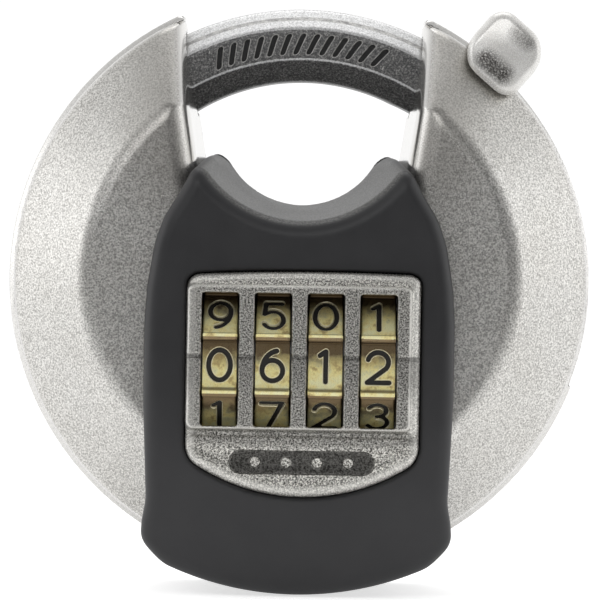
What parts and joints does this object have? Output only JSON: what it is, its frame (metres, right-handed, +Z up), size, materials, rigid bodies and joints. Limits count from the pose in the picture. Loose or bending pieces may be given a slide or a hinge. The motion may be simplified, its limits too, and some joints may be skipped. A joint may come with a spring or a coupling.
{
  "type": "disc padlock",
  "caption": "Round steel disc padlock with a shrouded shackle that turns in its rim, a thumb knob and a dial combination under black covers.",
  "frame": {"origin": "middle of the opening that the staple or hasp passes through, at the middle of the body's thickness", "axes": "+Z up as the lock hangs, front with the dials facing -Y, +X to the right seen from the front"},
  "size_m": [0.07, 0.0379, 0.0695],
  "materials": {
    "pressed_steel": "bead-blasted stainless steel, satin",
    "shackle_steel": "hardened bar, bright chamfers and darker oxide faces",
    "knob_metal": "cast and nickel plated, softly worn",
    "dark_steel": "black oxide",
    "black_cover": "moulded black plastic, fine satin texture",
    "cast_zinc": "coarse sparkling die casting",
    "dial_brass": "brushed brass with black filled numerals",
    "plain_steel": "turned and milled steel",
    "spring_steel": "drawn spring wire and strip",
    "inner_zinc": "plain die casting"
  },
  "bodies": {
    "lock_body": {"front_shell": "pressed_steel", "rear_shell": "pressed_steel", "front_cover": "black_cover", "rear_cover": "black_cover", "dial_housing": "cast_zinc", "core_frame": "inner_zinc", "detent_spring": "spring_steel", "shackle_guide": "inner_zinc", "housing_screws": "dark_steel", "frame_rivets": "plain_steel", "bolt_spring": "spring_steel", "reset_spring": "spring_steel"},
    "shackle": {"shackle": "shackle_steel", "thumb_knob": "knob_metal", "knob_screw": "dark_steel"},
    "dial_1": {"dial_wheel_1": "dial_brass"},
    "dial_2": {"dial_wheel_2": "dial_brass"},
    "dial_3": {"dial_wheel_3": "dial_brass"},
    "dial_4": {"dial_wheel_4": "dial_brass"},
    "reset_shaft": {"dial_axle": "plain_steel", "axle_collar": "plain_steel", "reset_slider": "plain_steel"},
    "tumbler_1": {"tumbler_sleeve_1": "plain_steel"},
    "tumbler_2": {"tumbler_sleeve_2": "plain_steel"},
    "tumbler_3": {"tumbler_sleeve_3": "plain_steel"},
    "tumbler_4": {"tumbler_sleeve_4": "plain_steel"},
    "fence": {"fence_bar": "plain_steel"},
    "bolt": {"lock_bolt": "plain_steel"}
  },
  "joints": [
    {"name": "shackle_turn", "type": "hinge", "parent": "lock_body", "child": "shackle", "pos_m": [0, 0, -0.0175], "axis": [0, -1, 0], "range_deg": [-64, 0]},
    {"name": "bolt_slide", "type": "slide", "parent": "lock_body", "child": "bolt", "axis": [1, 0, 0], "range_m": [-0.0023, 0], "deforming": ["bolt_spring"]},
    {"name": "fence_slide", "type": "slide", "parent": "lock_body", "child": "fence", "axis": [0, 1, 0], "range_m": [-0.0023, 0]},
    {"name": "reset_slide", "type": "slide", "parent": "lock_body", "child": "reset_shaft", "axis": [1, 0, 0], "range_m": [0, 0.0008], "deforming": ["reset_spring"]},
    {"name": "dial_1_turn", "type": "hinge", "parent": "lock_body", "child": "dial_1", "pos_m": [0, -0.012, -0.02755], "axis": [1, 0, 0], "continuous": true},
    {"name": "tumbler_1_turn", "type": "hinge", "parent": "reset_shaft", "child": "tumbler_1", "pos_m": [0, -0.012, -0.02755], "axis": [1, 0, 0], "continuous": true},
    {"name": "dial_2_turn", "type": "hinge", "parent": "lock_body", "child": "dial_2", "pos_m": [0, -0.012, -0.02755], "axis": [1, 0, 0], "continuous": true},
    {"name": "tumbler_2_turn", "type": "hinge", "parent": "reset_shaft", "child": "tumbler_2", "pos_m": [0, -0.012, -0.02755], "axis": [1, 0, 0], "continuous": true},
    {"name": "dial_3_turn", "type": "hinge", "parent": "lock_body", "child": "dial_3", "pos_m": [0, -0.012, -0.02755], "axis": [1, 0, 0], "continuous": true},
    {"name": "tumbler_3_turn", "type": "hinge", "parent": "reset_shaft", "child": "tumbler_3", "pos_m": [0, -0.012, -0.02755], "axis": [1, 0, 0], "continuous": true},
    {"name": "dial_4_turn", "type": "hinge", "parent": "lock_body", "child": "dial_4", "pos_m": [0, -0.012, -0.02755], "axis": [1, 0, 0], "continuous": true},
    {"name": "tumbler_4_turn", "type": "hinge", "parent": "reset_shaft", "child": "tumbler_4", "pos_m": [0, -0.012, -0.02755], "axis": [1, 0, 0], "continuous": true}
  ],
  "couplings": [
    {"joint": "bolt_slide", "follows": "shackle_turn", "m_per_rad": 0.0020591},
    {"joint": "fence_slide", "follows": "shackle_turn", "m_per_rad": 0.0020591},
    {"joint": "tumbler_1_turn", "follows": "dial_1_turn", "ratio": 1},
    {"joint": "tumbler_2_turn", "follows": "dial_2_turn", "ratio": 1},
    {"joint": "tumbler_3_turn", "follows": "dial_3_turn", "ratio": 1},
    {"joint": "tumbler_4_turn", "follows": "dial_4_turn", "ratio": 1}
  ]
}
